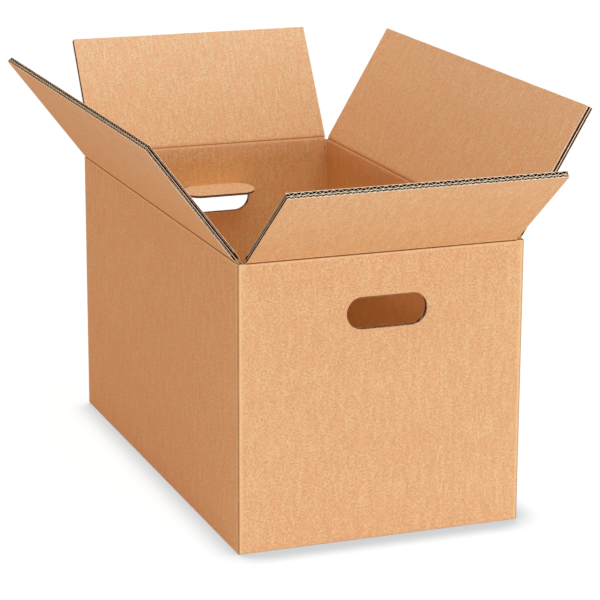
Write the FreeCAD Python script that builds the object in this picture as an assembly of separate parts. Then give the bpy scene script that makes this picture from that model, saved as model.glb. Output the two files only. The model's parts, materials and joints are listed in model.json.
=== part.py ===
import FreeCAD, Part

import math
import os
from dataclasses import dataclass

# A regular slotted box of double-wall corrugated board, standing open on the floor.
# Its four top flaps are folded outwards, and each end panel has a handhold whose tab is
# pushed in and hangs from the fold along the top of its hole.
#
# Millimetres. +Z is up and the origin is the centre of the base, on the floor. X runs across
# the two end panels (front faces -Y, back faces +Y), and Y runs along the two side panels.
#
# Each panel is worked out in the front panel's own terms and then turned into place:
#   along  runs along the panel, out is the distance in front of its outer face, up is height.
# A flap is worked out in its own terms, measured from its hinge axis:
#   s  runs along the flap to its free edge, n is the distance out of its outer face.

# ---------------------------------------------------------------- board and box
BOARD = 6.8  # thickness of the board
BOX_WIDTH = 318.0  # outside, across an end panel
BOX_LENGTH = 560.0  # outside, along a side panel
WALL_HEIGHT = 311.0  # floor to the crease of the side flaps
TOP_SEAM = 12.0  # between the two side flaps when they are shut
END_FLAP_SHORT = 5.0  # an end flap is this much shorter than a side flap
SIDE_FLAP_INSET = 4.7  # corner of the box to the end of a side flap
END_FLAP_INSET = 9.5  # corner of the box to the end of an end flap
FOLD_RADIUS = 3.0  # outside of an upright fold
BOTTOM_RADIUS = 2.6  # outside of a bottom fold, under FOLD_RADIUS so the two meet at a corner
BOTTOM_SEAM = 3.0  # between the two outer bottom flaps, which meet at the middle

# ---------------------------------------------------------------- creases of the top flaps
FOLD_GAP = 0.3  # clearance between a flap and what it folds against
END_SET_IN = 4.0  # how far inside its wall's plane an end flap stands when upright
SIDE_SET_IN = -FOLD_GAP  # a side flap stands this much outside its wall's plane
WEB = 0.9  # outer liner that crosses a crease
LIP = 1.2  # wall left standing under a crease
LIP_DROP = 0.9  # a corner of the box ends this far below the crease

# ---------------------------------------------------------------- glue lap at one corner
LAP_WIDTH = 38.0
LAP_BOARD = 3.4  # the lap's board is crushed to half
LAP_END_GAP = 22.0  # its ends stop this far from the closed flaps
LAP_BEVEL = 12.0

# ---------------------------------------------------------------- handholds and their tabs
HANDHOLD_WIDTH = 90.0
HANDHOLD_HEIGHT = 35.0
HANDHOLD_DROP = 46.0  # crease of the side flaps down to the fold of the tab
HANDHOLD_SHIFT = 4.5  # both holes sit this far from the middle of their panel, towards +X
TAB_BOARD = 3.0  # the cutting die crushes the tab
TAB_GAP = 0.4  # knife cut round the tab

# ---------------------------------------------------------------- how the box stands
# Degrees a flap leans outwards from upright, and degrees a tab swings in from flush.
FLAP_LEAN = {"front": 52.0, "back": 32.0, "left": 37.4, "right": 30.5}
TAB_SWING = {"front": 82.0, "back": 82.0}

# ---------------------------------------------------------------- derived
HALF_WIDTH = BOX_WIDTH / 2
HALF_LENGTH = BOX_LENGTH / 2
SIDE_FLAP = HALF_WIDTH - TOP_SEAM / 2  # crease to free edge
END_FLAP = SIDE_FLAP - END_FLAP_SHORT  # crease to free edge
HANDHOLD_TOP = WALL_HEIGHT - HANDHOLD_DROP
TURN = {"front": 0.0, "right": 90.0, "back": 180.0, "left": 270.0}
FULL_HEIGHT = WALL_HEIGHT + SIDE_FLAP + END_FLAP  # above anything that is cut away


@dataclass
class Crease:
    """Hinge axis of a top flap, and the flap's size measured from it."""

    axis_out: float  # axis in front of the wall's outer face
    axis_up: float  # axis above the floor
    face: float  # outer face of the flap, along n
    root: float  # where the full thickness starts, along s
    tip: float  # free edge, along s
    half_span: float  # half of the flap's width, along the wall
    wall_top: float  # wall under the flap
    lip_top: float  # lip left at the wall's outer face

    def at(self, lean, s, n):
        """(out, up) of the flap's point (s, n) when the flap leans out by lean degrees."""
        a = math.radians(lean)
        out = self.axis_out + s * math.sin(a) + n * math.cos(a)
        up = self.axis_up + s * math.cos(a) - n * math.sin(a)
        return out, up


def make_crease(set_in, shut_top, flap, half_span, covered, sunk):
    """Crease of a flap that shuts with its outer face at shut_top.

    Folded right back, the flap hangs FOLD_GAP in front of the wall, and upright it stands
    set_in behind the wall's outer face. Both give the axis and the place of the outer face.
    Shut, its full thickness starts behind the covered part of the wall, and the wall stops
    below the sunk part of the flap.
    """
    axis_out = (FOLD_GAP - set_in) / 2
    face = -(FOLD_GAP + set_in) / 2
    axis_up = shut_top - face
    return Crease(
        axis_out=axis_out,
        axis_up=axis_up,
        face=face,
        root=axis_out + covered + FOLD_GAP,
        tip=WALL_HEIGHT + flap - axis_up,
        half_span=half_span,
        wall_top=shut_top - sunk - FOLD_GAP,
        lip_top=axis_up - WEB - FOLD_GAP,
    )


# Shut, the side flaps lie over the end flaps. A side flap's board rests on its wall, behind
# the lip, and an end flap's board goes down inside its wall, with only the liner across it.
SIDE_SHUT_TOP = WALL_HEIGHT + FOLD_GAP
END_SHUT_TOP = SIDE_SHUT_TOP - BOARD - FOLD_GAP
SIDE_CREASE = make_crease(
    SIDE_SET_IN, SIDE_SHUT_TOP, SIDE_FLAP, HALF_LENGTH - SIDE_FLAP_INSET, LIP, BOARD
)
END_CREASE = make_crease(
    END_SET_IN, END_SHUT_TOP, END_FLAP, HALF_WIDTH - END_FLAP_INSET, BOARD, WEB
)
CREASE = {"front": END_CREASE, "back": END_CREASE, "left": SIDE_CREASE, "right": SIDE_CREASE}
REACH = {"front": HALF_LENGTH, "back": HALF_LENGTH, "left": HALF_WIDTH, "right": HALF_WIDTH}


def pinch_size(crease, lean):
    """Run along s and rise along n of the bevel where a flap's board is pinched at its crease.

    It is what lets the side flaps swing shut past an end flap that leans out by lean: the
    bevel then stands upright, FOLD_GAP clear of the ends of the side flaps.
    """
    a = math.radians(lean)
    back = crease.face - BOARD
    inward = crease.axis_out + SIDE_FLAP_INSET - FOLD_GAP
    run = -(inward + back * math.cos(a)) / math.sin(a) - crease.root
    rise = -(inward + crease.root * math.sin(a)) / math.cos(a) - back
    return max(run, WEB), max(rise, WEB)


PINCH_RUN, PINCH_RISE = pinch_size(END_CREASE, min(FLAP_LEAN["front"], FLAP_LEAN["back"]))
TAB_AXIS = BOARD + FOLD_GAP  # behind the wall's outer face


def put(shape, side):
    """Turns a shape made for the front panel's place into the place of another side."""
    placed = shape.copy()
    placed.translate(FreeCAD.Vector(0, -REACH[side], 0))
    placed.rotate(FreeCAD.Vector(0, 0, 0), FreeCAD.Vector(0, 0, 1), TURN[side])
    return placed


def block(x_range, y_range, z_range):
    """Box between two values on each axis."""
    size = [hi - lo for lo, hi in (x_range, y_range, z_range)]
    corner = FreeCAD.Vector(x_range[0], y_range[0], z_range[0])
    return Part.makeBox(size[0], size[1], size[2], corner)


def panel_block(along_range, out_range, up_range, side):
    """Box in a panel's own terms, put on that side."""
    lo_out, hi_out = out_range
    return put(block(along_range, (-hi_out, -lo_out), up_range), side)


def spread(outline, half_span):
    """Solid of an (out, up) outline, carried along the wall by half_span each way."""
    points = [FreeCAD.Vector(-half_span, -out, up) for out, up in outline]
    wire = Part.makePolygon(points + points[:1])
    return Part.Face(wire).extrude(FreeCAD.Vector(2 * half_span, 0, 0))


def stadium(width, height, centre_x, top, y_range):
    """Solid with straight top and bottom edges and half-round ends, along Y."""
    r = height / 2
    half = width / 2 - r
    y0, y1 = y_range
    left, right = centre_x - half, centre_x + half
    mid, low = top - r, top - height

    def corner(x, z):
        return FreeCAD.Vector(x, y0, z)

    edges = [
        Part.LineSegment(corner(left, top), corner(right, top)).toShape(),
        Part.Arc(corner(right, top), corner(right + r, mid), corner(right, low)).toShape(),
        Part.LineSegment(corner(right, low), corner(left, low)).toShape(),
        Part.Arc(corner(left, low), corner(left - r, mid), corner(left, top)).toShape(),
    ]
    return Part.Face(Part.Wire(edges)).extrude(FreeCAD.Vector(0, y1 - y0, 0))


def handhold_centre(side):
    """Where the hole's middle lies along its own panel."""
    return HANDHOLD_SHIFT * math.cos(math.radians(TURN[side]))


def outer_shell():
    """The four walls as a tube with rounded upright folds and rounded bottom edges."""
    solid = block(
        (-HALF_WIDTH, HALF_WIDTH), (-HALF_LENGTH, HALF_LENGTH), (0, WALL_HEIGHT - LIP_DROP)
    )
    upright = [e for e in solid.Edges if abs(e.tangentAt(e.FirstParameter).z) > 0.5]
    solid = solid.makeFillet(FOLD_RADIUS, upright)
    bottom = [e for e in solid.Edges if e.BoundBox.ZMax < BOTTOM_RADIUS]
    solid = solid.makeFillet(BOTTOM_RADIUS, bottom)
    inside = block(
        (-HALF_WIDTH + BOARD, HALF_WIDTH - BOARD),
        (-HALF_LENGTH + BOARD, HALF_LENGTH - BOARD),
        (-BOARD, FULL_HEIGHT),
    )
    return solid.cut(inside)


def bottom_flaps():
    """The closed bottom: two outer flaps that meet at the middle, two inner flaps on them."""
    flaps = []
    outer_end = HALF_LENGTH - BOARD - FOLD_GAP
    outer_root = HALF_WIDTH - BOARD
    for side in ("left", "right"):
        reach = (-HALF_WIDTH + BOTTOM_SEAM / 2, -HALF_WIDTH + outer_root)
        flaps.append(panel_block((-outer_end, outer_end), reach, (0, BOARD), side))
    inner_level = BOARD + FOLD_GAP
    for side in ("front", "back"):
        span = END_CREASE.half_span
        layer = (inner_level, inner_level + BOARD)
        flaps.append(panel_block((-span, span), (-END_FLAP, -BOARD), layer, side))
    return flaps


def glue_lap():
    """The lap that closes the sheet into a tube, inside the left wall at the back corner."""
    low = 2 * BOARD + LAP_END_GAP
    high = END_SHUT_TOP - BOARD - LAP_END_GAP
    root = HALF_LENGTH - BOARD
    edge = root - LAP_WIDTH
    outline = [
        (root, low),
        (root, high),
        (edge, high - LAP_BEVEL),
        (edge, low + LAP_BEVEL),
    ]
    x = -HALF_WIDTH + BOARD
    points = [FreeCAD.Vector(x, y, z) for y, z in outline]
    wire = Part.makePolygon(points + points[:1])
    return Part.Face(wire).extrude(FreeCAD.Vector(LAP_BOARD, 0, 0))


def rim_cuts(side):
    """What a flap's crease takes out of the top of its wall, leaving the lip standing."""
    crease = CREASE[side]
    span = (-crease.half_span - FOLD_GAP, crease.half_span + FOLD_GAP)
    inside = -BOARD - END_FLAP_INSET
    behind_lip = panel_block(span, (inside, -LIP), (crease.wall_top, FULL_HEIGHT), side)
    above_lip = panel_block(span, (-LIP - FOLD_GAP, BOARD), (crease.lip_top, FULL_HEIGHT), side)
    return [behind_lip, above_lip]


def handhold_cut(side):
    """The hole through an end wall."""
    hole = stadium(
        HANDHOLD_WIDTH, HANDHOLD_HEIGHT, handhold_centre(side), HANDHOLD_TOP, (-BOARD, 2 * BOARD)
    )
    return put(hole, side)


def make_box_body():
    """Walls, glue lap and closed bottom, which are one folded sheet."""
    body = outer_shell().fuse(bottom_flaps() + [glue_lap()])
    cuts = [cut for side in TURN for cut in rim_cuts(side)]
    cuts += [handhold_cut(side) for side in TAB_SWING]
    return body.cut(cuts).removeSplitter()


def make_flap(side):
    """A top flap: its board, and the liner that crosses the crease to the hinge axis."""
    crease = CREASE[side]
    face, back = crease.face, crease.face - BOARD
    board = [
        (0, face),
        (crease.tip, face),
        (crease.tip, back),
        (crease.root + PINCH_RUN, back),
        (crease.root, back + PINCH_RISE),
        (crease.root, face - WEB),
        (0, face - WEB),
    ]
    rib = [(0, 0), (WEB, 0), (WEB, face - WEB / 2), (0, face - WEB / 2)]
    lean = FLAP_LEAN[side]
    solids = [
        spread([crease.at(lean, s, n) for s, n in outline], crease.half_span)
        for outline in (board, rib)
    ]
    start = FreeCAD.Vector(-crease.half_span, -crease.axis_out, crease.axis_up)
    bead = Part.makeCylinder(WEB, 2 * crease.half_span, start, FreeCAD.Vector(1, 0, 0))
    return put(solids[0].fuse([solids[1], bead]).removeSplitter(), side)


def make_tab(side):
    """The tab cut out of a handhold, swung in about the fold along the top of its hole."""
    tab = stadium(
        HANDHOLD_WIDTH - 2 * TAB_GAP,
        HANDHOLD_HEIGHT - 2 * TAB_GAP,
        handhold_centre(side),
        HANDHOLD_TOP - TAB_GAP,
        (BOARD - TAB_BOARD, BOARD),
    )
    fold = FreeCAD.Vector(0, TAB_AXIS, HANDHOLD_TOP)
    tab.rotate(fold, FreeCAD.Vector(1, 0, 0), TAB_SWING[side])
    return put(tab, side)


def make_parts():
    """Every piece of the box, by name."""
    parts = {"box_body": make_box_body()}
    for side in TURN:
        parts[side + "_flap"] = make_flap(side)
    for side in TAB_SWING:
        parts[side + "_handhold_tab"] = make_tab(side)
    return parts


def main():
    os.makedirs("parts", exist_ok=True)
    for name, shape in make_parts().items():
        solid = shape.Solids[0]
        print(name, len(shape.Solids), "solid", shape.isValid(), round(shape.Volume), "mm3")
        solid.exportStep(os.path.join("parts", name + ".step"))


if __name__ == "__main__":
    main()
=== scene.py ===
"""Looks of an open corrugated box: fluted double-wall board, kraft paper, studio and camera.

The whole box is one folded sheet of board. Every piece below is built from the same plies,
an outer liner, small flutes, a middle liner, large flutes and an inner liner, and every
point of it knows where it lies on the flat sheet, so the paper's grain runs on over the folds.

Places are in metres. A panel is worked out in its own terms: x runs along the panel, out is
the distance in front of its outer face, and z is height. Depth is measured into the board
from its outer face.
"""

import json
import logging
import math
from dataclasses import dataclass, field, replace
from enum import Enum
from typing import Callable, Optional, Union

import bpy
import numpy as np
from mathutils import Matrix, Vector


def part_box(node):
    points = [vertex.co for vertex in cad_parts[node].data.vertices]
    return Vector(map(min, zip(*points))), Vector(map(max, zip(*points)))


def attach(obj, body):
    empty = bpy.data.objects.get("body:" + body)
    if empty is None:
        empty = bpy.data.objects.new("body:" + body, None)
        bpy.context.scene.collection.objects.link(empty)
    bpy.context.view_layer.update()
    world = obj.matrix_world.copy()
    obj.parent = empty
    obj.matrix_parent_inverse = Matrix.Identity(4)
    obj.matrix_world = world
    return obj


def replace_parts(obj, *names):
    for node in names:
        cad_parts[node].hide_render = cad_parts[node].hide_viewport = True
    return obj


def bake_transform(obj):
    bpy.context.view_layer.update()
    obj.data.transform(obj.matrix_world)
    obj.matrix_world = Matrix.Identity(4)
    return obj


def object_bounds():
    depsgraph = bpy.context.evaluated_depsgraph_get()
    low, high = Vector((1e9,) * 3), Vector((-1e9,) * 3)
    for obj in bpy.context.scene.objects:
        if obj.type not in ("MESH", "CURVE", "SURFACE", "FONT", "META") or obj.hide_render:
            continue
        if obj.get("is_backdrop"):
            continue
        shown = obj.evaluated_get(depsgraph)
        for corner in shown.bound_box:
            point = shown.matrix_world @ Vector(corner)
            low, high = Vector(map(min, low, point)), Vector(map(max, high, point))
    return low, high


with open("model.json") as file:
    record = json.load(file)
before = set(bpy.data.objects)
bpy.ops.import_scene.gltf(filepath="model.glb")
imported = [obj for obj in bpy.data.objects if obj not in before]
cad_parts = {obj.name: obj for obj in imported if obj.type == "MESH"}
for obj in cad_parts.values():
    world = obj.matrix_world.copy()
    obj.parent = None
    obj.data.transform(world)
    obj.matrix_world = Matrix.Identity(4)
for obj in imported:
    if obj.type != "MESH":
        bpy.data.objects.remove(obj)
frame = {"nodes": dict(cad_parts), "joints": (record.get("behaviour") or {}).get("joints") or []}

log = logging.getLogger("corrugated_box")

Array = np.ndarray
Curve = Callable[[Array], Array]
Place = Callable[[Array, Array, Array], Array]
Mask = Callable[[Array, Array], Array]
Colour = tuple[int, int, int]
Trio = tuple[float, float, float]
Socket = bpy.types.NodeSocket
Tree = bpy.types.NodeTree
Value = Union[float, tuple, Socket]

UP = np.array([0.0, 0.0, 1.0])
SHEET_TOP = 0.5  # height on the sheet above every top flap's free edge
WELD = 1e-7  # points closer than this are one point
SMOOTH_ANGLE = math.radians(35)  # a sharper edge than this isn't smoothed
ROUND_END = 1e-3  # an outline lower than this is at one of its two round ends
COLUMN_DIGITS = 7  # columns are told apart to a tenth of a micrometre
EDGE_WAVES = ((0.0031, 0.4, 0.5), (0.0083, 2.1, 0.3), (0.0227, 4.4, 0.2))
MIDDLE = 0.5  # of a noise, and of the way from a paper's deep colour to its pale one
CLUMP_RELIEF = 0.5  # height of the clumps against the single fibres
FLUTE_BEND = 0.5  # how far the ridges seen on a liner are bent, in flutes
FLUTE_HOLD = (0.2, 1.0)  # how strong those ridges stay, from weakest to strongest
CREASE_HOLD = (0.86, 1.0)  # how dark the line of a crease stays where it breaks up, from weakest to strongest
HIGHLIGHT_REACH = (0.02, 0.2)  # crease mask over which the painted highlight beside a crease comes in
WHITE = (1.0, 1.0, 1.0, 1.0)


class Side(Enum):
    """A wall of the box, by how far the front wall is turned to reach it, in degrees."""

    LEFT = 270
    FRONT = 0
    RIGHT = 90
    BACK = 180

    @property
    def label(self) -> str:
        """Name used in the names of nodes, bodies and joints."""
        return self.name.lower()

    @property
    def along(self) -> Array:
        """Unit vector along the wall, to the right of someone who faces it."""
        turn = math.radians(self.value)
        return np.array([math.cos(turn), math.sin(turn), 0.0])

    @property
    def outward(self) -> Array:
        """Unit vector out of the wall."""
        turn = math.radians(self.value)
        return np.array([math.sin(turn), -math.cos(turn), 0.0])


ENDS = (Side.FRONT, Side.BACK)
LONG_SIDES = (Side.LEFT, Side.RIGHT)


class PlyKind(Enum):
    """What a ply of the board is."""

    LINER = "liner"
    FLUTING = "fluting"


class Paper(Enum):
    """The papers a face can show, in the order of a piece's material slots."""

    OUTER = 0
    INNER = 1
    # FLUTING is a dark painted shade of the flute hollows; the fluting's own paper is the same
    # kraft as the liners
    FLUTING = 2
    RAW_EDGE = 3


@dataclass(frozen=True)
class Ply:
    """One ply of the board, between two depths, and what its sides and cut edges show."""

    kind: PlyKind
    top: float
    bottom: float
    front: Paper
    back: Paper
    pitch: float = 0.0
    rim: Paper = Paper.RAW_EDGE


@dataclass(frozen=True)
class BoardGrade:
    """Double-wall board: liners, small outer flutes and large inner flutes."""

    liner: float = 0.0005
    medium: float = 0.00038
    outer_flute: float = 0.0022
    inner_flute: float = 0.0031
    outer_pitch: float = 0.0063
    inner_pitch: float = 0.0078
    wave_steps: int = 14
    end_recess: float = 0.0009
    end_wall: float = 0.0003

    def plies(self, thickness: float, crushed: bool = False) -> list[Ply]:
        """Plies of a board of this thickness, from the outer face inwards.

        Args:
            thickness: the board's thickness, which may be crushed.
            crushed: whether its flutes are pressed flat, with the dark painted shade of the hollows
                on their cut edges.

        Returns:
            Five plies whose depths are scaled to the thickness.
        """
        heights = [self.liner, self.outer_flute, self.liner, self.inner_flute, self.liner]
        edges = np.concatenate([[0.0], np.cumsum(heights)]) * thickness / sum(heights)
        # the fluting and the liners' sides that face it show the dark painted shade of the flute
        # hollows
        hollow_shade = Paper.FLUTING
        rows = [
            (PlyKind.LINER, Paper.OUTER, hollow_shade, 0.0),
            (PlyKind.FLUTING, hollow_shade, hollow_shade, self.outer_pitch),
            (PlyKind.LINER, hollow_shade, hollow_shade, 0.0),
            (PlyKind.FLUTING, hollow_shade, hollow_shade, self.inner_pitch),
            (PlyKind.LINER, hollow_shade, Paper.INNER, 0.0),
        ]
        rims = {PlyKind.FLUTING: hollow_shade} if crushed else {}
        return [
            Ply(kind, edges[i], edges[i + 1], front, back, pitch, rims.get(kind, Paper.RAW_EDGE))
            for i, (kind, front, back, pitch) in enumerate(rows)
        ]


@dataclass
class Shell:
    """A closed thin solid as arrays: points, quads, place on the sheet and crease mask."""

    points: Array
    quads: Array
    sheet: Array
    crease: Array
    papers: Array

    def welded(self) -> "Shell":
        """Joins points that share a place, drops faces that vanish, and turns faces out.

        Returns:
            The shell, closed where its faces share edges.
        """
        keys = np.round(self.points / WELD).astype(np.int64)
        _, first, back = np.unique(keys, axis=0, return_index=True, return_inverse=True)
        quads = back.reshape(-1)[self.quads]
        opposite = (quads[:, 0] == quads[:, 2]) | (quads[:, 1] == quads[:, 3])
        steps = (quads == np.roll(quads, 1, axis=1)).sum(axis=1)
        keep = ~opposite & (steps < 2)
        shell = Shell(
            self.points[first], quads[keep], self.sheet[first], self.crease[first],
            self.papers[keep],
        )
        a, b, c, d = (shell.points[shell.quads[:, corner]] for corner in range(4))
        if (a * (np.cross(b, c) + np.cross(c, d))).sum() < 0:  # six times the volume
            shell.quads = shell.quads[:, ::-1].copy()
        return shell


def joined(shells: list[Shell]) -> Shell:
    """Puts several shells into one set of arrays, without welding them.

    Args:
        shells: the shells to join.

    Returns:
        One shell with all their faces.
    """
    starts = np.cumsum([0] + [len(s.points) for s in shells[:-1]])
    quads = np.concatenate([s.quads + start for s, start in zip(shells, starts)])
    rest = {
        name: np.concatenate([getattr(s, name) for s in shells])
        for name in ("points", "sheet", "crease", "papers")
    }
    return Shell(quads=quads, **rest)


def everywhere(x: Array) -> Array:
    """True at every x."""
    return np.ones(np.shape(x), bool)


def nowhere(x: Array) -> Array:
    """False at every x."""
    return np.zeros(np.shape(x), bool)


@dataclass
class Caps:
    """Which sides of a grid are closed between its front and its back.

    The start and the end are its first and last column. The low and the high side are closed
    at every x where their curve is true.
    """

    start: bool = True
    end: bool = True
    low: Curve = everywhere
    high: Curve = everywhere


def thin_solid(
    front: Array, back: Array, sheet: Array, crease: Array, x: Array, ply: Ply, caps: Caps
) -> Shell:
    """Solid between two grids of the same shape.

    Args:
        front: (columns, rows, 3) points of the front face.
        back: the same for the back face.
        sheet: (columns, rows, 2) places on the flat sheet.
        crease: (columns, rows) crease mask, 0 to 1.
        x: x of each column.
        ply: the ply, for the papers of its two sides and of its rim.
        caps: which edges of the grid are closed.

    Returns:
        The solid, with its faces wound the same way round.
    """
    columns, rows = front.shape[:2]
    index = np.arange(columns * rows).reshape(columns, rows)
    behind = index + columns * rows
    a, b, c, d = index[:-1, :-1], index[1:, :-1], index[1:, 1:], index[:-1, 1:]
    faces = np.stack([a, b, c, d], axis=-1).reshape(-1, 4)
    low, high = (closed((x[:-1] + x[1:]) / 2) for closed in (caps.low, caps.high))
    strips = [
        (index[1:, 0][low], index[:-1, 0][low], behind[:-1, 0][low], behind[1:, 0][low]),
        (index[:-1, -1][high], index[1:, -1][high], behind[1:, -1][high], behind[:-1, -1][high]),
    ]
    if caps.start:
        strips.append((index[0, :-1], index[0, 1:], behind[0, 1:], behind[0, :-1]))
    if caps.end:
        strips.append((index[-1, 1:], index[-1, :-1], behind[-1, :-1], behind[-1, 1:]))
    rim = np.concatenate([np.stack(strip, axis=-1).reshape(-1, 4) for strip in strips])
    papers = np.repeat(
        [ply.front.value, ply.back.value, ply.rim.value], [len(faces), len(faces), len(rim)]
    )
    return Shell(
        np.concatenate([front.reshape(-1, 3), back.reshape(-1, 3)]),
        np.concatenate([faces, faces[:, ::-1] + columns * rows, rim]),
        np.tile(sheet.reshape(-1, 2), (2, 1)),
        np.tile(crease.reshape(-1), 2),
        papers,
    )


def in_order(*columns: Array) -> Array:
    """All these columns from left to right, each once."""
    return np.unique(np.round(np.concatenate(columns), COLUMN_DIGITS))


@dataclass
class Patch:
    """A stretch of the sheet between two curves, which the plies are cut to.

    Columns run along x, and at each one the patch reaches from low(x) to high(x) along s. On
    the sheet a point lies at (sheet_x + x, sheet_s + sheet_step s).
    """

    place: Place
    columns: Array
    low: Curve
    high: Curve
    sheet_x: float
    sheet_s: float = 0.0
    rows: int = 2
    sheet_step: float = 1.0
    crease: Optional[Mask] = None
    caps: Caps = field(default_factory=Caps)

    def flute_columns(self, pitch: float, steps: int) -> Array:
        """The patch's own columns and enough more to follow a flute of this pitch.

        Args:
            pitch: length of one flute.
            steps: columns to a flute.

        Returns:
            The columns, in order.
        """
        lo, hi = self.columns[0], self.columns[-1]
        count = max(2, int(round((hi - lo) / pitch * steps)))
        return in_order(self.columns, np.linspace(lo, hi, count))

    def grid(self, columns: Array) -> tuple[Array, Array]:
        """(x, s) of every point of the patch, for the given columns.

        Args:
            columns: x of each column.

        Returns:
            Two arrays of columns by rows.
        """
        share = np.linspace(0.0, 1.0, self.rows)[None, :]
        low, high = self.low(columns)[:, None], self.high(columns)[:, None]
        s = low + (high - low) * share
        return np.broadcast_to(columns[:, None], s.shape), s

    def ply(self, ply: Ply, grade: BoardGrade, crushed: bool = False) -> Shell:
        """One ply of the board over this patch.

        A liner, and a crushed flute, fills the space between its two depths. A flute is a
        sheet of paper of even thickness along a sine wave: depth = middle + a cos(2 pi u /
        pitch), moved half its thickness each way along the wave's normal.

        Args:
            ply: the ply to build.
            grade: the board it belongs to.
            crushed: whether flutes are pressed flat.

        Returns:
            The ply, not yet welded.
        """
        wavy = ply.kind is PlyKind.FLUTING and not crushed
        columns = self.flute_columns(ply.pitch, grade.wave_steps) if wavy else self.columns
        x, s = self.grid(columns)
        if wavy:
            angle = 2 * math.pi * (x + self.sheet_x) / ply.pitch
            reach = (ply.bottom - ply.top - grade.medium) / 2
            middle = (ply.bottom + ply.top) / 2 + reach * np.cos(angle)
            slope = -reach * 2 * math.pi / ply.pitch * np.sin(angle)
            length = np.sqrt(1 + slope**2)
            across = grade.medium / 2 * slope / length
            depth = grade.medium / 2 / length
            front = self.place(x + across, s, middle - depth)
            back = self.place(x - across, s, middle + depth)
        else:
            front = self.place(x, s, np.full(x.shape, ply.top))
            back = self.place(x, s, np.full(x.shape, ply.bottom))
        sheet = np.stack([x + self.sheet_x, self.sheet_s + self.sheet_step * s], axis=-1)
        crease = self.crease(x, s) if self.crease else np.zeros(x.shape)
        return thin_solid(front, back, sheet, crease, columns, ply, self.caps)

    def end_walls(self, ply: Ply, grade: BoardGrade) -> list[Shell]:
        """Walls a little way in from the patch's two ends, which close the flutes with the dark
        painted shade of their deep hollows.

        Args:
            ply: the fluting that they belong to.
            grade: the board.

        Returns:
            Two thin solids that fill the ply's depth.
        """
        wall = replace(ply, kind=PlyKind.LINER, rim=Paper.FLUTING)
        shells = []
        for end, inward in ((self.columns[0], 1.0), (self.columns[-1], -1.0)):
            near = end + inward * grade.end_recess
            columns = np.sort(np.array([near, near + inward * grade.end_wall]))
            strip = replace(self, columns=columns, caps=Caps(), rows=2)
            shells.append(strip.ply(wall, grade).welded())
        return shells

    def board(self, grade: BoardGrade, thickness: float, crushed: bool = False) -> Shell:
        """Every ply of a board over this patch.

        Args:
            grade: the board.
            thickness: its thickness here.
            crushed: whether its flutes are pressed flat.

        Returns:
            All plies, each welded into a closed solid.
        """
        shells = []
        for ply in grade.plies(thickness, crushed):
            shells.append(self.ply(ply, grade, crushed).welded())
            if ply.kind is PlyKind.FLUTING and not crushed:
                shells.extend(self.end_walls(ply, grade))
        return joined(shells)


def one_ply(patches: list[Patch], ply: Ply, grade: BoardGrade) -> Shell:
    """One ply over patches that join edge to edge, welded into a closed solid."""
    return joined([patch.ply(ply, grade) for patch in patches]).welded()


def constant(value: float) -> Curve:
    """A curve of a patch that stays at one value."""
    return lambda x: np.full(np.shape(x), value)


def spaced(lo: float, hi: float, step: float) -> Array:
    """Even steps from lo to hi, each at most step long."""
    return np.linspace(lo, hi, max(2, int(math.ceil((hi - lo) / step)) + 1))


def in_scene(name: str, data: bpy.types.ID) -> bpy.types.Object:
    """Makes an object of this data and links it to the scene.

    Args:
        name: the object's name.
        data: its mesh, lamp or camera.

    Returns:
        The object.
    """
    thing = bpy.data.objects.new(name, data)
    bpy.context.scene.collection.objects.link(thing)
    return thing


def make_piece(name: str, shell: Shell, materials: list[bpy.types.Material]) -> bpy.types.Object:
    """Turns a shell into an object at the origin.

    Args:
        name: the object's name.
        shell: its arrays.
        materials: one material per Paper, in order.

    Returns:
        The object, with its sheet places as a UV map and its crease mask as an attribute.
    """
    quads = shell.quads
    kept = quads != np.roll(quads, 1, axis=1)  # a quad with a doubled corner is a triangle
    sizes = kept.sum(axis=1)
    corners = quads[kept]
    mesh = bpy.data.meshes.new(name)
    mesh.vertices.add(len(shell.points))
    mesh.vertices.foreach_set("co", shell.points.astype(np.float32).reshape(-1))
    mesh.loops.add(len(corners))
    mesh.loops.foreach_set("vertex_index", corners.astype(np.int32))
    mesh.polygons.add(len(quads))
    starts = np.concatenate([[0], np.cumsum(sizes)[:-1]])
    mesh.polygons.foreach_set("loop_start", starts.astype(np.int32))
    mesh.polygons.foreach_set("material_index", shell.papers.astype(np.int32))
    mesh.polygons.foreach_set("use_smooth", np.ones(len(quads), bool))
    mesh.update(calc_edges=True)
    mesh.validate()
    for material in materials:
        mesh.materials.append(material)
    uv = mesh.uv_layers.new(name="sheet")
    vertex = np.empty(len(mesh.loops), np.int32)
    mesh.loops.foreach_get("vertex_index", vertex)
    uv.data.foreach_set("uv", shell.sheet[vertex].astype(np.float32).reshape(-1))
    crease = mesh.attributes.new("crease", "FLOAT", "POINT")
    crease.data.foreach_set("value", shell.crease.astype(np.float32))
    mesh.set_sharp_from_angle(angle=SMOOTH_ANGLE)
    piece = in_scene(name, mesh)
    log.info("%s: %d faces", name, len(mesh.polygons))
    return piece


# ------------------------------------------------------------------ sizes read from the frame
@dataclass
class Wall:
    """One wall's place on the box and on the flat sheet."""

    side: Side
    half: float  # half of the wall's length
    reach: float  # outer face from the box's middle
    sheet_x: float  # place on the sheet of the wall's middle

    def at(self, x: Array, out: Array, z: Array) -> Array:
        """Points x along the wall, out in front of its outer face and z up.

        Args:
            x: distance along the wall from its middle.
            out: distance in front of the wall's outer face.
            z: height.

        Returns:
            Array of points, with one more axis of length 3.
        """
        x, out, z = np.broadcast_arrays(x, out, z)
        across, away = x[..., None], (self.reach + out)[..., None]
        points = across * self.side.along + away * self.side.outward
        points[..., 2] += z
        return points


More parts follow.
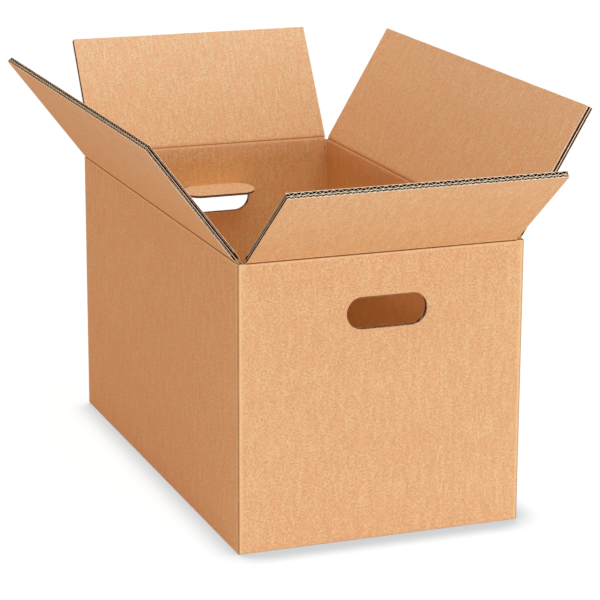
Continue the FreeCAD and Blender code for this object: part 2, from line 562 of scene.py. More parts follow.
@dataclass
class Hinge:
    """The hinge of a flap or a tab on its wall, and how the part lies about it.

    A point of the part is s away from the axis along the part, and n out of it. On a part
    that is turned from its wall by an angle, that is way s sin + n cos out from the axis and
    way s cos - n sin up from it.
    """

    wall: Wall
    axis: Array
    turn: float  # from the wall's plane to the part, in radians
    way: float  # 1 for a part above its hinge that leans out, -1 for one below that swings in

    @classmethod
    def read(cls, wall: Wall, joint_name: str, shut: float, way: float) -> "Hinge":
        """Reads a hinge from the frame.

        Args:
            wall: the wall that carries the part.
            joint_name: the joint's name.
            shut: the part's turn at the joint's low limit, in degrees.
            way: which way the part lies, as in the field.

        Returns:
            The hinge, with the part as it lies at rest.
        """
        joint = next(joint for joint in frame["joints"] if joint["name"] == joint_name)
        turn = math.radians(shut - joint["range_deg"][0])
        return cls(wall, np.array(joint["pos_m"]), turn, way)

    @property
    def out(self) -> float:
        """Place of the axis in front of the wall's outer face."""
        return float(self.axis @ self.wall.side.outward) - self.wall.reach

    @property
    def level(self) -> float:
        """Height of the axis."""
        return float(self.axis[2])

    def measured(self, node: str) -> tuple[Array, Array, Array]:
        """(x, s, n) of the points of a CAD node.

        Args:
            node: its name.

        Returns:
            Places along the wall, away from the axis and out of the part.
        """
        mesh = frame["nodes"][node].data
        points = np.empty(len(mesh.vertices) * 3, np.float32)
        mesh.vertices.foreach_get("co", points)
        points = points.reshape(-1, 3).astype(float)
        side, sin, cos = self.wall.side, math.sin(self.turn), math.cos(self.turn)
        away = self.way * (sin * side.outward + cos * UP)
        normal = cos * side.outward - sin * UP
        return points @ side.along, (points - self.axis) @ away, (points - self.axis) @ normal

    def at(self, x: Array, s: Array, n: Array) -> Array:
        """Points of the part.

        Args:
            x: distance along the wall.
            s: distance from the axis, along the part.
            n: distance out of the part.

        Returns:
            The points.
        """
        sin, cos = math.sin(self.turn), math.cos(self.turn)
        out = self.out + self.way * s * sin + n * cos
        return self.wall.at(x, out, self.level + self.way * s * cos - n * sin)


@dataclass
class FlapFrame:
    """A top flap's hinge and size, in the terms of its own wall."""

    hinge: Hinge
    half_span: float
    tip: float
    face: float
    back: float

    @classmethod
    def read(cls, wall: Wall) -> "FlapFrame":
        """Measures a flap, which lies level over the box at its joint's low limit.

        Args:
            wall: the wall that carries the flap.

        Returns:
            The flap's hinge and size.
        """
        hinge = Hinge.read(wall, wall.side.label + "_flap_hinge", shut=-90.0, way=1.0)
        x, s, n = hinge.measured(wall.side.label + "_flap")
        outer_half = n[s > s.max() / 2]
        return cls(
            hinge=hinge,
            half_span=float(np.abs(x).max()),
            tip=float(s.max()),
            face=float(outer_half.max()),
            back=float(outer_half.min()),
        )

    def at(self, x: Array, s: Array, depth: Array) -> Array:
        """Points of the flap, s from its hinge and depth into its board."""
        return self.hinge.at(x, s, self.face - depth)

    def crossing(self, n: float, out: float) -> tuple[float, float]:
        """(s, z) where the flap's plane at n meets the wall's plane at out.

        Args:
            n: how far the plane along the flap lies out of its hinge.
            out: how far the plane along the wall lies in front of its outer face.

        Returns:
            Distance from the hinge along the flap, and height.
        """
        sin, cos = math.sin(self.hinge.turn), math.cos(self.hinge.turn)
        s = (out - self.hinge.out - n * cos) / sin
        return s, self.hinge.level + s * cos - n * sin


@dataclass
class Handhold:
    """A handhold's hole and the hinge of its tab, in the terms of its own wall."""

    hinge: Hinge
    centre: float
    width: float
    height: float
    tab_low: float
    tab_high: float
    tab_face: float
    tab_back: float
    straight_step: float = 0.006
    arc_steps: int = 12

    @classmethod
    def read(cls, wall: Wall) -> "Handhold":
        """Measures a hole by its tab, which fills it at its joint's low limit but for a gap.

        Args:
            wall: the end wall that has the hole.

        Returns:
            The hole's outline and the tab's hinge.
        """
        hinge = Hinge.read(wall, wall.side.label + "_tab_hinge", shut=0.0, way=-1.0)
        x, s, n = hinge.measured(wall.side.label + "_handhold_tab")
        gap = float(s.min())
        return cls(
            hinge=hinge,
            centre=float(x.max() + x.min()) / 2,
            width=float(np.ptp(x)) + 2 * gap,
            height=float(s.max()) + gap,
            tab_low=gap,
            tab_high=float(s.max()),
            tab_face=float(n.max()),
            tab_back=float(n.min()),
        )

    @property
    def top(self) -> float:
        """Top of the hole, level with the tab's hinge."""
        return self.hinge.level

    def half_height(self, x: Array, shrink: float = 0.0) -> Array:
        """Half of the stadium's height at x: full along the straight part, then a half circle.

        Args:
            x: distance along the wall.
            shrink: how far the outline is drawn in.

        Returns:
            Half heights, 0 outside the outline.
        """
        radius = self.height / 2
        past = np.clip(np.abs(x - self.centre) - (self.width / 2 - radius), 0, None)
        radius = radius - shrink
        return np.sqrt(np.clip(radius**2 - past**2, 0, None))

    def columns(self, shrink: float = 0.0) -> Array:
        """Columns that follow the outline: even on the straight part, by angle on the rounds.

        Args:
            shrink: how far the outline is drawn in.

        Returns:
            x of each column, in order.
        """
        radius = self.height / 2
        straight = self.width / 2 - radius
        angle = np.linspace(0, math.pi / 2, self.arc_steps + 1)[1:]
        rounds = straight + (radius - shrink) * np.sin(angle)
        middle = spaced(-straight, straight, self.straight_step)
        return self.centre + np.concatenate([-rounds[::-1], middle, rounds])

    def tab_at(self, x: Array, s: Array, depth: Array) -> Array:
        """Points of the tab, s from its hinge and depth into it from its outer face."""
        return self.hinge.at(x, s, self.tab_face - depth)


# ------------------------------------------------------------------------------ the pieces
def ragged(x: Array, size: float) -> Array:
    """Small waver of a cut edge, at most size each way.

    It is the sum of sine waves of unrelated lengths, each with its phase and its share of the
    whole.

    Args:
        x: distance along the edge.
        size: the most that it wavers.

    Returns:
        How far the edge lies out at x.
    """
    return size * sum(
        share * np.sin(2 * math.pi * x / length + phase) for length, phase, share in EDGE_WAVES
    )


@dataclass
class BoxShell:
    """The four walls, folded round four upright creases, with the handholds cut out."""

    grade: BoardGrade
    thickness: float
    walls: list[Wall]
    flaps: dict[Side, FlapFrame]
    handholds: dict[Side, Handhold]
    post_top: float
    fold_low: float
    corner_radius: float = 0.0027
    inner_radius: float = 0.0006
    # dark lines along the corner folds and the posts' tops: partly the folded paper's colour,
    # partly painted shade
    corner_wear: float = 0.0026
    corner_dark: float = 0.63
    rim_height: float = 0.004
    rim_wear: float = 0.0009
    rim_dark: float = 0.5
    bottom_radius: float = 0.0022
    settle: float = 0.012
    post_step: float = 2e-6  # width of the upright step from fold to post
    corner_columns: int = 12
    corner_lead: float = 0.0015
    wall_step: float = 0.03
    foot_rows: int = 12
    wall_rows: int = 6
    brow_rows: int = 3
    rim_rows: int = 9
    window: float = 0.016
    edge_waver: float = 0.00012

    def round_corner(self, wall: Wall, x: Array, depth: Array, z: Array) -> Array:
        """Places points of a wall on a rounded rectangle drawn in by depth.

        Along the middle of the wall a point keeps its x. Over the last stretch before the
        corner it is drawn in to where the arc starts at its depth, and past that it turns
        about the arc's centre, 45 degrees to the wall's end.

        Args:
            wall: the wall.
            x: distance along the outer face.
            depth: distance in from the outer face.
            z: height.

        Returns:
            The points.
        """
        radius = np.maximum(self.corner_radius - depth, self.inner_radius)
        end = wall.half - self.corner_radius
        keep = end - self.settle
        flat = wall.half - depth - radius
        size = np.abs(x)
        over = np.clip(size - keep, 0, self.settle)
        along = np.minimum(size, keep) + over * (flat - keep) / self.settle
        turn = np.clip(size - end, 0, None) / self.corner_radius
        along = along + radius * np.sin(turn)
        return wall.at(np.sign(x) * along, radius * np.cos(turn) - radius - depth, z)

    def length(self, wall: Wall) -> float:
        """Half of the wall's length along its outer face, to the middle of each corner arc."""
        return wall.half - self.corner_radius + self.corner_radius * math.pi / 4

    def corner_crease(self, wall: Wall) -> Mask:
        """Crease mask of a wall: a bell curve about each corner and along the posts' tops, which
        darkens them, partly as the folded paper's own colour and partly as painted shade.

        Args:
            wall: the wall.

        Returns:
            The mask, by place along the wall and height.
        """
        span, end = self.flaps[wall.side].half_span, self.length(wall)

        def mask(x: Array, s: Array) -> Array:
            """Crease mask at places on the wall.

            Args:
                x: place along the wall.
                s: height.

            Returns:
                The mask, 0 to 1.
            """
            corner = self.corner_dark * np.exp(-(((end - np.abs(x)) / self.corner_wear) ** 2))
            rim = self.rim_dark * np.exp(-(((self.post_top - s) / self.rim_wear) ** 2))
            return np.maximum(corner, rim * (np.abs(x) > span))

        return mask

    def columns(self, wall: Wall) -> Array:
        """Columns of a wall: its corner arcs, the ends of its flap and its handhold.

        Args:
            wall: the wall.

        Returns:
            x of each column, in order.
        """
        end = wall.half - self.corner_radius
        arc = np.linspace(end - self.corner_lead, self.length(wall), self.corner_columns)
        span = self.flaps[wall.side].half_span
        step = np.array([span, span + self.post_step])
        steady = spaced(0, end - self.settle, self.wall_step)
        right = np.unique(np.concatenate([steady, arc, step]))
        columns = np.concatenate([-right[::-1], right])
        if wall.side in self.handholds:
            return in_order(columns, self.handholds[wall.side].columns())
        return in_order(columns)

    def split(self, wall: Wall, sign: float) -> Curve:
        """The curve where the wall's lower part (sign -1) or upper part (sign 1) ends.

        Args:
            wall: the wall.
            sign: -1 for the lower part and 1 for the upper part.

        Returns:
            The height of that part's edge, by place along the wall.
        """
        hole = self.handholds.get(wall.side)
        middle = next(iter(self.handholds.values()))
        level = middle.top - middle.height / 2

        def curve(x: Array) -> Array:
            """Height of the edge at x.

            Args:
                x: place along the wall.

            Returns:
                The height.
            """
            if hole is None:
                return np.full(np.shape(x), level)
            half = hole.half_height(x)
            return level + sign * (half + np.where(half > ROUND_END, ragged(x, self.edge_waver), 0))

        return curve

    def top(self, wall: Wall) -> Curve:
        """The wall's upper edge: the fold under its flap, and the corner posts beside it."""
        past = self.flaps[wall.side].half_span + self.post_step / 2
        return lambda x: np.where(np.abs(x) > past, self.post_top, self.fold_low)

    def below(self, top: Curve) -> Curve:
        """The curve where the worn rim of the walls starts."""
        return lambda x: top(x) - self.rim_height

    def in_hole(self, wall: Wall) -> Curve:
        """A curve that is true where the wall's handhold is.

        Args:
            wall: the wall.

        Returns:
            The curve.
        """
        hole = self.handholds.get(wall.side)
        if hole is None:
            return nowhere
        return lambda x: np.abs(x - hole.centre) < hole.width / 2

    def place(self, wall: Wall) -> Place:
        """Places of a wall's plies: s is height."""
        return lambda x, s, depth: self.round_corner(wall, x, depth, s)

    def skirt_place(self, wall: Wall) -> Place:
        """Places of the outer liner, which turns in under the box.

        Above the bottom radius s is height. Below it the liner follows a quarter circle about
        a centre one radius in and one radius up, and then runs in level along the floor.

        Args:
            wall: the wall.

        Returns:
            Points of the liner, by x, s and depth.
        """
        radius = self.bottom_radius

        def place(x: Array, s: Array, depth: Array) -> Array:
            """Points of the liner.

            Args:
                x: place along the wall.
                s: height, or what is left of the liner when it is followed on under the box.
                depth: distance in from the liner's outer face.

            Returns:
                The points.
            """
            turn = np.clip((radius - s) / radius, 0, math.pi / 2)
            level = np.clip(radius * (1 - math.pi / 2) - s, 0, None)
            inward = radius - (radius - depth) * np.cos(turn) + level
            return self.round_corner(
                wall,
                x,
                np.where(s > radius, depth, inward),
                np.where(s > radius, s, radius - (radius - depth) * np.sin(turn)),
            )

        return place

    def liner(self, ply: Ply) -> Shell:
        """One liner all the way round the box.

        Args:
            ply: the liner.

        Returns:
            The liner, closed.
        """
        patches = []
        outer = ply.top == 0.0
        for wall in self.walls:
            place = self.skirt_place(wall) if outer else self.place(wall)
            foot = constant(self.bottom_radius if outer else self.grade.liner)
            foot_closed = nowhere if outer else everywhere
            hole, top = self.in_hole(wall), self.top(wall)
            # bands from low to high, with their rows, and where they are closed at each end
            bands = [
                (foot, self.split(wall, -1), self.wall_rows, foot_closed, hole),
                (self.split(wall, 1), self.below(top), self.brow_rows, hole, nowhere),
                (self.below(top), top, self.rim_rows, nowhere, everywhere),
            ]
            if outer:
                turned_in = self.bottom_radius * (2 - math.pi / 2) - self.thickness
                bands.insert(0, (constant(turned_in), foot, self.foot_rows, everywhere, nowhere))
            patches += [
                Patch(
                    place, self.columns(wall), low, high, wall.sheet_x, rows=rows,
                    crease=self.corner_crease(wall), caps=Caps(False, False, *closed),
                )
                for low, high, rows, *closed in bands
            ]
        return one_ply(patches, ply, self.grade)

    def windows(self, ply: Ply) -> list[Shell]:
        """Fluting where a cut shows it: round the handholds and at the corner posts.

        Args:
            ply: the fluting.

        Returns:
            One closed shell for each place.
        """
        shells = []
        for wall in self.walls:
            hole = self.handholds.get(wall.side)
            place = self.place(wall)
            if hole is not None:
                edge = hole.width / 2 + self.window
                ends = np.array([hole.centre - edge, hole.centre + edge])
                columns = np.unique(np.concatenate([ends, hole.columns()]))
                low = constant(hole.top - hole.height - self.window)
                high = constant(hole.top + self.window)
                bands = (
                    (low, self.split(wall, -1), Caps(high=self.in_hole(wall))),
                    (self.split(wall, 1), high, Caps(low=self.in_hole(wall))),
                )
                parts = [
                    Patch(place, columns, start, end, wall.sheet_x, caps=caps)
                    for start, end, caps in bands
                ]
                shells.append(one_ply(parts, ply, self.grade))
            span, end = self.flaps[wall.side].half_span, self.length(wall)
            low, high = constant(self.post_top - self.window), constant(self.post_top)
            for columns in (np.array([-end, -span]), np.array([span, end])):
                post = Patch(place, columns, low, high, wall.sheet_x)
                shells.append(one_ply([post], ply, self.grade))
                shells.extend(post.end_walls(ply, self.grade))
        return shells

    def build(self) -> Shell:
        """All plies of the walls.

        Returns:
            The plies, each closed.
        """
        shells = []
        for ply in self.grade.plies(self.thickness):
            if ply.kind is PlyKind.LINER:
                shells.append(self.liner(ply))
            else:
                shells.extend(self.windows(ply))
        return joined(shells)


@dataclass
class BottomFlaps:
    """The closed bottom: two outer flaps that meet along the middle, two inner ones on them."""

    grade: BoardGrade
    thickness: float
    walls: list[Wall]
    end_span: float
    end_length: float
    seam: float = 0.003
    gap: float = 0.0003
    column_step: float = 0.05
    edge_waver: float = 0.00015

    def flap(self, wall: Wall, half_span: float, length: float, level: float) -> Shell:
        """One closed flap that lies level, its outer face down.

        Args:
            wall: the wall that it folds from.
            half_span: half of its width.
            length: from the wall's outer face to its free edge.
            level: height of its outer face.

        Returns:
            The flap's board.
        """
        patch = Patch(
            place=lambda x, s, depth: wall.at(x, -s, level + depth),
            columns=spaced(-half_span, half_span, self.column_step),
            low=constant(self.thickness),
            high=lambda x: length + ragged(x, self.edge_waver),
            sheet_x=wall.sheet_x,
            sheet_step=-1.0,
            rows=4,
        )
        return patch.board(self.grade, self.thickness)

    def build(self) -> Shell:
        """All four flaps.

        Returns:
            Their boards.
        """
        flaps = []
        for wall in self.walls:
            if wall.side in ENDS:
                level = self.thickness + self.gap
                flaps.append(self.flap(wall, self.end_span, self.end_length, level))
            else:
                span = wall.half - self.thickness - self.gap
                flaps.append(self.flap(wall, span, wall.reach - self.seam / 2, 0.0))
        return joined(flaps)


@dataclass
class GlueLap:
    """The lap that closes the sheet into a tube, glued inside the left wall."""

    grade: BoardGrade
    wall: Wall
    wall_thickness: float
    low: float
    high: float
    width: float = 0.038
    thickness: float = 0.0034
    bevel: float = 0.012
    column_step: float = 0.004

    def build(self) -> Shell:
        """The lap: a strip whose two ends slope in towards its free edge.

        Returns:
            The lap's board.
        """
        root = -(self.wall.half - self.wall_thickness)
        edge = root + self.width

        def slope(x: Array) -> Array:
            """How far an end of the lap has sloped in at x."""
            return self.bevel * (x - root) / self.width

        patch = Patch(
            place=lambda x, s, depth: self.wall.at(x, -self.wall_thickness - depth, s),
            columns=spaced(root, edge, self.column_step),
            low=lambda x: self.low + slope(x),
            high=lambda x: self.high - slope(x),
            sheet_x=-self.wall.sheet_x,
            rows=3,
        )
        return patch.board(self.grade, self.thickness, crushed=True)


@dataclass
class TopFlap:
    """A top flap's board, and the crushed fold that joins it to its wall."""

    grade: BoardGrade
    thickness: float
    frame: FlapFrame
    fold_low: float
    crease_z: float
    fold_length: float = 0.0085
    fillet: float = 0.0018
    outer_pinch: float = 0.0009
    inner_pinch: float = 0.0008
    pinch_width: float = 0.0022
    notch: float = 0.0
    notch_rise: float = 0.0075
    bend_reach: float = 0.0045
    tight_bend: bool = False
    tight_reach: float = 0.002
    crease_width: float = 0.34
    column_step: float = 0.02
    fold_rows: int = 41
    crowding: float = 1.6
    edge_waver: float = 0.00015

    @property
    def columns(self) -> Array:
        """Even columns from one end of the flap to the other."""
        return spaced(-self.frame.half_span, self.frame.half_span, self.column_step)

    @property
    def fold_reach(self) -> float:
        """Distance from the hinge at which the fold ends and the plain board starts."""
        return self.frame.crossing(self.frame.face, 0.0)[0] + self.fold_length

    def board(self) -> Shell:
        """The flap beyond its fold, at the board's full thickness.

        Returns:
            The board.
        """
        patch = Patch(
            place=self.frame.at,
            columns=self.columns,
            low=constant(self.fold_reach),
            high=lambda x: self.frame.tip + ragged(x, self.edge_waver),
            sheet_x=self.frame.hinge.wall.sheet_x,
            sheet_s=self.crease_z,
            rows=6,
        )
        return patch.board(self.grade, self.thickness)

    def skin(
        self, t: Array, depth: float, pinch: Array, notch: float = 0.0
    ) -> tuple[Array, Array]:
        """(out, z) of the fold's outer or inner face, as t goes from -1 to 1.

        The wall's line runs up to the corner where the flap's line meets it. With d the way
        past that corner, the wall's line is left (sqrt(d^2 + e^2) - d) / 2 before it and the
        flap's line is followed for (sqrt(d^2 + e^2) + d) / 2. e, which rounds the corner, falls
        to nothing at both ends. The middle is pinched in as a bell curve, and the wall's line
        moves in by the notch, along a smooth ramp from the fold's start.

        Args:
            t: share of the way to each end of the fold.
            depth: depth of the face in the board.
            pinch: (out, z) by which the middle of this face is pressed into the board.
            notch: how far the wall's line moves in, which leaves room for the shut side flaps.

        Returns:
            Two arrays shaped as t.
        """
        s, z = self.frame.crossing(self.frame.face - depth, -depth - notch)
        down, along = z - self.fold_low, self.fold_reach - s
        d = t * np.where(t > 0, along, down)
        soft = self.fillet * (1 - t**2) ** 2
        below = (np.sqrt(d**2 + soft**2) - d) / 2
        above = (np.sqrt(d**2 + soft**2) + d) / 2
        sin, cos = math.sin(self.frame.hinge.turn), math.cos(self.frame.hinge.turn)
        dent = np.exp(-((d / self.pinch_width) ** 2)) * (1 - t**2)
        level = z - below + above * cos
        rise = np.clip((level - self.fold_low) / self.notch_rise, 0, 1)
        line = -depth - notch * rise**2 * (3 - 2 * rise)
        return line + above * sin + dent * pinch[0], level + dent * pinch[1]

    def fold(self) -> Shell:
        """The fold: board crushed between its outer and inner faces.

        Returns:
            The fold's crushed board.
        """
        start, end = (
            np.array([-depth, self.frame.crossing(self.frame.face - depth, -depth)[1]])
            for depth in (0.0, self.thickness)
        )
        across = (end - start) / np.linalg.norm(end - start)

        def place(x: Array, s: Array, depth: Array) -> Array:
            """Points between the fold's two faces, closer together near its middle.

            Args:
                x: place along the wall.
                s: -1 on the wall to 1 on the flap, and 0 at the corner.
                depth: distance in from the outer face.

            Returns:
                The points.
            """
            t = np.sign(s) * np.abs(s) ** self.crowding
            outer = self.skin(t, 0.0, across * self.outer_pinch, self.notch)
            inner = self.skin(t, self.thickness, -across * self.inner_pinch)
            share = depth / self.thickness
            out, z = (a + (b - a) * share for a, b in zip(outer, inner))
            return self.frame.hinge.wall.at(x, out, z)

        patch = Patch(
            place=place,
            columns=self.columns,
            low=constant(-1.0),
            high=constant(1.0),
            sheet_x=self.frame.hinge.wall.sheet_x,
            sheet_s=self.crease_z,
            sheet_step=self.fold_length,
            rows=self.fold_rows,
            # the crease mask darkens the fold's middle, partly as the crushed paper's colour and
            # partly as painted shade, with a painted highlight beside it
            crease=lambda x, s: np.exp(-((s / self.crease_width) ** 2)),
        )
        return patch.board(self.grade, self.thickness, crushed=True)

    def bend_line(self) -> tuple[Array, Array]:
        """Two points between which the fold turns.

        A tight bend's points lie close about its hinge, so that a fold turned about them would stay
        below the shut side flaps. The points of another reach from the wall to the flap.

        Returns:
            The point where the fold starts to turn and the point where it ends.
        """
        hinge = self.frame.hinge
        if self.tight_bend:
            start = hinge.wall.at(0.0, hinge.out, hinge.level - self.tight_reach)
            return start, hinge.wall.at(0.0, hinge.out, hinge.level + self.tight_reach)
        middle = self.thickness / 2
        s, z = self.frame.crossing(self.frame.face - middle, -middle)
        start = hinge.wall.at(0.0, -middle, z - self.bend_reach)
        return start, self.frame.at(0.0, s + self.bend_reach, middle)


@dataclass
class HandholdTab:
    """The tab pushed in from a handhold, and the fold it hangs from.

    Their place on the sheet is a gap above the hole, so that they don't take the painted shade of
    the inside walls.
    """

    grade: BoardGrade
    hole: Handhold
    root_web: float = 0.005
    sheet_gap: float = 0.1
    fold_step: float = 0.0025
    fold_rows: int = 14
    fold_dark: float = 0.7
    edge_waver: float = 0.0001

    @property
    def thickness(self) -> float:
        """Thickness of the crushed tab."""
        return self.hole.tab_face - self.hole.tab_back

    def board(self) -> Shell:
        """The tab: a stadium of crushed board.

        Returns:
            The tab's crushed board.
        """
        hole = self.hole
        gap = hole.tab_low
        middle = (hole.tab_low + hole.tab_high) / 2

        def half(x: Array) -> Array:
            """Half of the tab's height at x."""
            return hole.half_height(x, gap)

        patch = Patch(
            place=hole.tab_at,
            columns=in_order(hole.columns(gap)),
            low=lambda x: middle - half(x),
            high=lambda x: middle + half(x) + ragged(x, self.edge_waver) * (half(x) > ROUND_END),
            sheet_x=hole.hinge.wall.sheet_x,
            sheet_s=hole.top + self.sheet_gap,
            sheet_step=-1.0,
            rows=5,
            caps=Caps(False, False),
        )
        return patch.board(self.grade, self.thickness, crushed=True)

    def fold(self) -> Shell:
        """The fold: board swept about the hinge from the wall's plane to the tab's.

        Returns:
            The fold's crushed board.
        """
        hole = self.hole
        reach_x = hole.width / 2 - hole.height / 2 + self.root_web

        def place(x: Array, s: Array, depth: Array) -> Array:
            """Points swept about the hinge, from the hole's outline to the tab's.

            Args:
                x: place along the wall.
                s: 0 on the wall to 1 on the tab.
                depth: distance in from the outer face.

            Returns:
                The points.
            """
            turn = s * hole.hinge.turn
            reach = hole.tab_face - depth
            past = hole.height / 2 - hole.half_height(x) + hole.tab_low * s
            out = hole.hinge.out + reach * np.cos(turn) - past * np.sin(turn)
            z = hole.top - reach * np.sin(turn) - past * np.cos(turn)
            return hole.hinge.wall.at(x, out, z)

        patch = Patch(
            place=place,
            columns=spaced(hole.centre - reach_x, hole.centre + reach_x, self.fold_step),
            low=constant(0.0),
            high=constant(1.0),
            sheet_x=hole.hinge.wall.sheet_x,
            sheet_s=hole.top + self.sheet_gap,
            sheet_step=-self.thickness,
            rows=self.fold_rows,
            # the crease mask darkens the tab's fold, partly as the crushed paper's colour and
            # partly as painted shade
            crease=lambda x, s: np.sin(math.pi * s) * self.fold_dark,
        )
        return patch.board(self.grade, self.thickness, crushed=True)

    def bend_line(self) -> tuple[Array, Array]:
        """Two points between which the fold turns.

        Returns:
            The point where the fold starts to turn and the point where it ends.
        """
        hinge, centre = self.hole.hinge, self.hole.centre
        middle = self.hole.tab_face / 2
        start = hinge.wall.at(centre, hinge.out + middle, hinge.level)
        return start, hinge.wall.at(centre, hinge.out, hinge.level - middle)


# --------------------------------------------------------------------------------- finishes
def linear(colour: Colour) -> tuple[float, ...]:
    """Linear RGBA of a colour given as it looks, 0 to 255.

    Args:
        colour: red, green and blue.

    Returns:
        Each channel by the sRGB curve, and an alpha of 1.
    """
    shares = [channel / 255 for channel in colour]
    channels = [c / 12.92 if c <= 0.04045 else ((c + 0.055) / 1.055) ** 2.4 for c in shares]
    return (channels[0], channels[1], channels[2], 1.0)


@dataclass(frozen=True)
class Grain:
    """A noise on the flat sheet, which counts as 0 up to its start and as 1 from its end."""

    across: float  # features to a metre, along the box
    up: float  # the same upwards
    shift: tuple[float, float]
    detail: float
    roughness: float
    starts: float = 0.0
    ends: float = 1.0


CLOUDS = Grain(11, 16, (3.1, 7.7), 2.0, 0.5)
CLUMPS = Grain(170, 210, (0.4, 5.2), 3.0, 0.6)
FIBRES = Grain(430, 520, (8.3, 1.9), 2.0, 0.6)
STREAKS = Grain(150, 34, (4.6, 8.8), 3.0, 0.75)
BLUSH = Grain(75, 60, (5.5, 2.2), 2.0, 0.5, 0.4, 0.68)
SPECKS = Grain(420, 900, (2.7, 9.4), 1.0, 0.4, 0.68, 0.78)
FLUTE_BENDS = Grain(30, 9, (1.3, 0.2), 1.0, 0.5)
FLUTE_STRENGTH = Grain(18, 7, (6.1, 4.4), 2.0, 0.5, 0.35, 0.7)
CREASE_BREAKS = Grain(160, 60, (0.9, 3.3), 3.0, 0.6, 0.3, 0.6)


@dataclass
class Wiring:
    """Adds nodes to a node tree and connects them."""

    tree: Tree

    def put(self, socket: Socket, value: Value) -> None:
        """Connects or sets one input.

        Args:
            socket: the input.
            value: another node's output, or the value to set.
        """
        if isinstance(value, Socket):
            self.tree.links.new(value, socket)
        else:
            socket.default_value = value

    def node(self, kind: str, inputs: dict, **settings: object) -> bpy.types.Node:
        """Adds a node.

        Args:
            kind: Blender's name for its type.
            inputs: values or outputs for its inputs, by name or number.
            **settings: the node's own settings.

        Returns:
            The new node.
        """
        node = self.tree.nodes.new(kind)
        for name, value in settings.items():
            setattr(node, name, value)
        for name, value in inputs.items():
            self.put(node.inputs[name], value)
        return node

    @classmethod
    def fresh(cls, owner: Union[bpy.types.Material, bpy.types.World]) -> "Wiring":
        """Wiring of a material's or a world's own tree, emptied first.

        Args:
            owner: the material or the world.

        Returns:
            The wiring.
        """
        owner.use_nodes = True
        owner.node_tree.nodes.clear()
        return cls(owner.node_tree)

    def group(self, tree: Tree, inputs: dict) -> bpy.types.NodeOutputs:
        """Outputs of a node group for the given inputs."""
        return self.node("ShaderNodeGroup", inputs, node_tree=tree).outputs

    def math(self, operation: str, *values: Value) -> Socket:
        """Output of a Math node for the given operation and inputs."""
        node = self.node("ShaderNodeMath", dict(enumerate(values)), operation=operation)
        return node.outputs[0]

    def remap(self, value: Value, low: Value, high: Value, to: tuple = (0.0, 1.0)) -> Socket:
        """Takes a value from low..high to the range `to`, clipped, with soft ends.

        Args:
            value: the value.
            low: where its range starts.
            high: where its range ends.
            to: the range that it is taken to.

        Returns:
            The new value.
        """
        inputs = dict(enumerate((value, low, high, *to)))
        node = self.node("ShaderNodeMapRange", inputs, interpolation_type="SMOOTHSTEP")
        return node.outputs[0]

    def mix(self, share: Value, start: Value, end: Value, blend: str = "MIX") -> Socket:
        """Output of a Mix node, by the numbers of its factor and its sockets for colours."""
        inputs = {0: share, 6: start, 7: end}
        return self.node("ShaderNodeMix", inputs, data_type="RGBA", blend_type=blend).outputs[2]

    def noise(self, place: Value, grain: Grain, scale: Optional[Socket] = None) -> Socket:
        """Noise on the flat sheet.

        Args:
            place: the place on the sheet, which is multiplied by the scale and then shifted.
            grain: which noise.
            scale: a scale that takes the place of the grain's own.

        Returns:
            The noise, 0 to 1.
        """
        moved = {
            "Vector": place,
            "Location": (*grain.shift, 0.0),
            "Scale": scale or (grain.across, grain.up, 1.0),
        }
        inputs = {
            "Vector": self.node("ShaderNodeMapping", moved).outputs[0],
            "Scale": 1.0,
            "Detail": grain.detail,
            "Roughness": grain.roughness,
        }
        return self.node("ShaderNodeTexNoise", inputs, noise_dimensions="2D").outputs["Fac"]

    def share(self, place: Value, grain: Grain, to: tuple = (0.0, 1.0)) -> Socket:
        """Noise on the flat sheet, from its start to its end, taken to the range `to`."""
        return self.remap(self.noise(place, grain), grain.starts, grain.ends, to)

    def seen(self) -> Socket:
        """1 where the camera sees the surface, straight or in a gloss, and 0 elsewhere."""
        path = self.node("ShaderNodeLightPath", {}).outputs
        return self.math("MAXIMUM", path["Is Camera Ray"], path["Is Glossy Ray"])


def new_group(name: str, inputs: dict, outputs: dict) -> tuple[Wiring, dict, dict]:
    """Starts a node group.

    Args:
        name: the group's name.
        inputs: socket type of each input, by name.
        outputs: socket type of each output, by name.

    Returns:
        The group's wiring, its inputs as they arrive inside, and where its outputs go.
    """
    tree = bpy.data.node_groups.new(name, "ShaderNodeTree")
    for way, sockets in (("INPUT", inputs), ("OUTPUT", outputs)):
        for label, kind in sockets.items():
            tree.interface.new_socket(label, in_out=way, socket_type=kind)
    arriving = tree.nodes.new("NodeGroupInput")
    leaving = tree.nodes.new("NodeGroupOutput")
    given = {label: arriving.outputs[label] for label in inputs}
    return Wiring(tree), given, {label: leaving.inputs[label] for label in outputs}


FLOAT, VECTOR, COLOUR = "NodeSocketFloat", "NodeSocketVector", "NodeSocketColor"


def fibre_group() -> Tree:
    """Fibres of unbleached paper.

    Four noises on the flat sheet are added up: clouds a hand wide, fibre clumps a few
    millimetres long, single fibres, and streaks along the flutes. Blush, where the
    paper is redder, and specks are where two more noises are near their top.

    Returns:
        The node group.
    """
    w, given, result = new_group(
        "kraft_fibres",
        {
            "Place": VECTOR, "Clouds": FLOAT, "Clumps": FLOAT, "Fibres": FLOAT,
            "Streaks": FLOAT, "Streak Scale": VECTOR,
        },
        {"Tone": FLOAT, "Blush": FLOAT, "Specks": FLOAT, "Height": FLOAT},
    )
    place = given["Place"]
    clumps, fibres = w.noise(place, CLUMPS), w.noise(place, FIBRES)
    noises = {
        "Clouds": w.noise(place, CLOUDS),
        "Clumps": clumps,
        "Fibres": fibres,
        "Streaks": w.noise(place, STREAKS, given["Streak Scale"]),
    }
    total: Value = 0.0
    for amount, noise in noises.items():
        swing = w.math("MULTIPLY", w.math("SUBTRACT", noise, MIDDLE), given[amount])
        total = w.math("ADD", swing, total)
    w.put(result["Tone"], total)
    w.put(result["Blush"], w.share(place, BLUSH))
    w.put(result["Specks"], w.share(place, SPECKS))
    w.put(result["Height"], w.math("ADD", w.math("MULTIPLY", clumps, CLUMP_RELIEF), fibres))
    return w.tree


